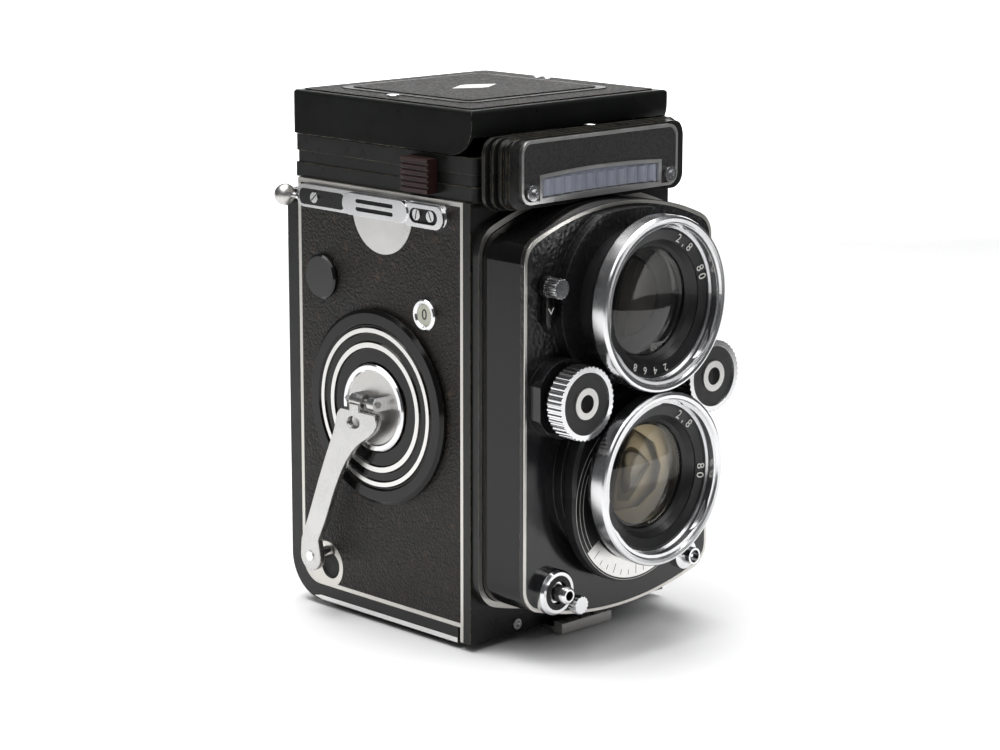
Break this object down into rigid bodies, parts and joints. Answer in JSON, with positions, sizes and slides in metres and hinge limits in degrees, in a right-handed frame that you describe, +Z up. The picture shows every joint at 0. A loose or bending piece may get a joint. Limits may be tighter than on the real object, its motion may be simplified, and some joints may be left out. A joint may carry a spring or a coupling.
{
  "type": "twin lens reflex camera",
  "caption": "Roll-film reflex camera: two stacked lenses on a sliding front, folding viewing hood, side winding crank, focusing knob and hinged back.",
  "frame": {"origin": "centre of the tripod socket, on the plane the four feet stand on", "axes": "+Z up; the lenses look along -Y; +X towards the focusing knob, -X towards the crank"},
  "size_m": [0.09, 0.1105, 0.147],
  "materials": {
    "black_casting": "satin",
    "black_gloss": "gloss",
    "chrome": "polished",
    "satin_chrome": "satin",
    "leather": "fine grain",
    "lens_glass": "coated",
    "screen_glass": "ground",
    "mirror": "silvered",
    "steel": "plain",
    "black_anodised": "matt black",
    "brown_plastic": "ribbed",
    "red_core": "moulded"
  },
  "bodies": {
    "camera": {"body_casting": "black_casting", "side_plate_left": "satin_chrome", "side_plate_right": "satin_chrome", "side_leather": "leather", "front_collar": "black_gloss", "reflex_mirror": "mirror", "focusing_screen": "screen_glass", "meter_housing": "black_casting", "meter_faceplate": "satin_chrome", "meter_window": "lens_glass", "body_screws": "chrome", "hood_base": "black_casting", "strap_rails": "chrome", "half_moon_plate": "satin_chrome", "blanking_cap": "black_gloss", "counter_bezel": "chrome", "crank_disc": "black_gloss", "door_hinge": "black_casting"},
    "lid": {"hood_lid": "black_casting", "lid_leather": "leather"},
    "left_flap": {"hood_flap_left": "black_casting"},
    "right_flap": {"hood_flap_right": "black_casting"},
    "rear_flap": {"hood_flap_back": "black_casting"},
    "magnifier": {"magnifier_frame": "black_casting", "magnifier_lens": "lens_glass"},
    "left_hood_catch": {"hood_catch_left": "brown_plastic"},
    "right_hood_catch": {"hood_catch_right": "brown_plastic"},
    "crank": {"crank_hub": "chrome", "crank_hinge_pin": "steel"},
    "folding_arm": {"crank_arm": "satin_chrome", "crank_handle": "chrome"},
    "focusing_knob": {"focus_knob": "satin_chrome"},
    "supply_spool_knob": {"supply_knob": "satin_chrome"},
    "take_up_spool_knob": {"take_up_knob": "satin_chrome"},
    "take_up": {"take_up_key": "steel", "take_up_spool": "red_core"},
    "standard": {"front_standard": "black_gloss", "lens_board": "black_gloss", "board_trim": "satin_chrome", "viewing_barrel": "black_anodised", "taking_barrel": "black_anodised", "lens_bezels": "chrome", "front_glasses": "lens_glass", "rear_glasses": "lens_glass", "shutter_housing": "black_anodised", "shutter_leaves": "steel", "release_collar": "chrome", "flash_socket": "chrome"},
    "aperture_dial": {"aperture_wheel": "chrome"},
    "shutter_dial": {"shutter_wheel": "chrome"},
    "shutter_button": {"release_button": "chrome"},
    "button_lock": {"release_lock": "chrome"},
    "flash_lever": {"sync_lever": "black_gloss"},
    "door": {"back_door": "black_casting", "back_leather": "leather", "pressure_plate": "black_casting", "tripod_socket": "steel", "feet": "steel"},
    "safety_ring": {"lock_ring": "satin_chrome"},
    "latch": {"back_latch": "satin_chrome"}
  },
  "joints": [
    {"name": "hood_open", "type": "hinge", "parent": "camera", "child": "lid", "pos_m": [0, -0.0301, 0.1422], "axis": [1, 0, 0], "range_deg": [0, 90]},
    {"name": "left_flap_fold", "type": "hinge", "parent": "camera", "child": "left_flap", "pos_m": [-0.03505, 0, 0.1295], "axis": [0, 1, 0], "range_deg": [-90, 0]},
    {"name": "right_flap_fold", "type": "hinge", "parent": "camera", "child": "right_flap", "pos_m": [0.03505, 0, 0.1332], "axis": [0, 1, 0], "range_deg": [0, 90]},
    {"name": "rear_flap_fold", "type": "hinge", "parent": "camera", "child": "rear_flap", "pos_m": [0, 0.0311, 0.1265], "axis": [1, 0, 0], "range_deg": [-90, 0]},
    {"name": "magnifier_swing", "type": "hinge", "parent": "lid", "child": "magnifier", "pos_m": [0, -0.0001, 0.1435], "axis": [1, 0, 0], "range_deg": [-90, 0]},
    {"name": "left_catch_press", "type": "slide", "parent": "camera", "child": "left_hood_catch", "axis": [0, 0, -1], "range_m": [0, 0.0012], "stiffness_N_per_m": 400},
    {"name": "right_catch_press", "type": "slide", "parent": "camera", "child": "right_hood_catch", "axis": [0, 0, -1], "range_m": [0, 0.0012], "stiffness_N_per_m": 400},
    {"name": "crank_turn", "type": "hinge", "parent": "camera", "child": "crank", "pos_m": [0, -0.0024, 0.0622], "axis": [1, 0, 0], "range_deg": [0, 330]},
    {"name": "crank_fold", "type": "hinge", "parent": "crank", "child": "folding_arm", "pos_m": [-0.04332, 0, 0.0642], "axis": [0, 1, 0], "range_deg": [0, 165]},
    {"name": "front_focus", "type": "slide", "parent": "camera", "child": "standard", "axis": [0, -1, 0], "range_m": [0, 0.007]},
    {"name": "focus_knob_turn", "type": "hinge", "parent": "camera", "child": "focusing_knob", "pos_m": [0, -0.0024, 0.0622], "axis": [1, 0, 0], "range_deg": [0, 275]},
    {"name": "supply_knob_pull", "type": "slide", "parent": "camera", "child": "supply_spool_knob", "axis": [1, 0, 0], "range_m": [0, 0.006], "stiffness_N_per_m": 200},
    {"name": "take_up_knob_pull", "type": "slide", "parent": "camera", "child": "take_up_spool_knob", "axis": [1, 0, 0], "range_m": [0, 0.006], "stiffness_N_per_m": 200},
    {"name": "take_up_turn", "type": "hinge", "parent": "camera", "child": "take_up", "pos_m": [0, 0.0185, 0.0975], "axis": [1, 0, 0], "range_deg": [0, 720]},
    {"name": "aperture_turn", "type": "hinge", "parent": "standard", "child": "aperture_dial", "pos_m": [0.0248, 0, 0.0716], "axis": [0, 1, 0], "range_deg": [-60, 60]},
    {"name": "shutter_turn", "type": "hinge", "parent": "standard", "child": "shutter_dial", "pos_m": [-0.0248, 0, 0.0716], "axis": [0, 1, 0], "range_deg": [-70, 70]},
    {"name": "release_press", "type": "slide", "parent": "standard", "child": "shutter_button", "axis": [0, 1, 0], "range_m": [0, 0.0035], "stiffness_N_per_m": 300},
    {"name": "lock_turn", "type": "hinge", "parent": "standard", "child": "button_lock", "pos_m": [-0.0186, 0, 0.0142], "axis": [0, 1, 0], "range_deg": [0, 90]},
    {"name": "flash_lever_swing", "type": "hinge", "parent": "standard", "child": "flash_lever", "pos_m": [-0.0286, 0, 0.1016], "axis": [0, 1, 0], "range_deg": [0, 25]},
    {"name": "door_open", "type": "hinge", "parent": "camera", "child": "door", "pos_m": [0, 0.0344, 0.1191], "axis": [1, 0, 0], "range_deg": [0, 100]},
    {"name": "safety_ring_turn", "type": "hinge", "parent": "door", "child": "safety_ring", "pos_m": [0, 0, 0], "axis": [0, 0, 1], "range_deg": [0, 50]},
    {"name": "latch_drop", "type": "hinge", "parent": "door", "child": "latch", "pos_m": [0, -0.031, 0.00105], "axis": [1, 0, 0], "range_deg": [0, 80]}
  ],
  "couplings": [
    {"joint": "left_flap_fold", "follows": "hood_open", "ratio": -1},
    {"joint": "right_flap_fold", "follows": "hood_open", "ratio": 1},
    {"joint": "rear_flap_fold", "follows": "hood_open", "ratio": -1},
    {"joint": "magnifier_swing", "follows": "hood_open", "ratio": -1},
    {"joint": "focus_knob_turn", "follows": "front_focus", "rad_per_m": 673}
  ]
}
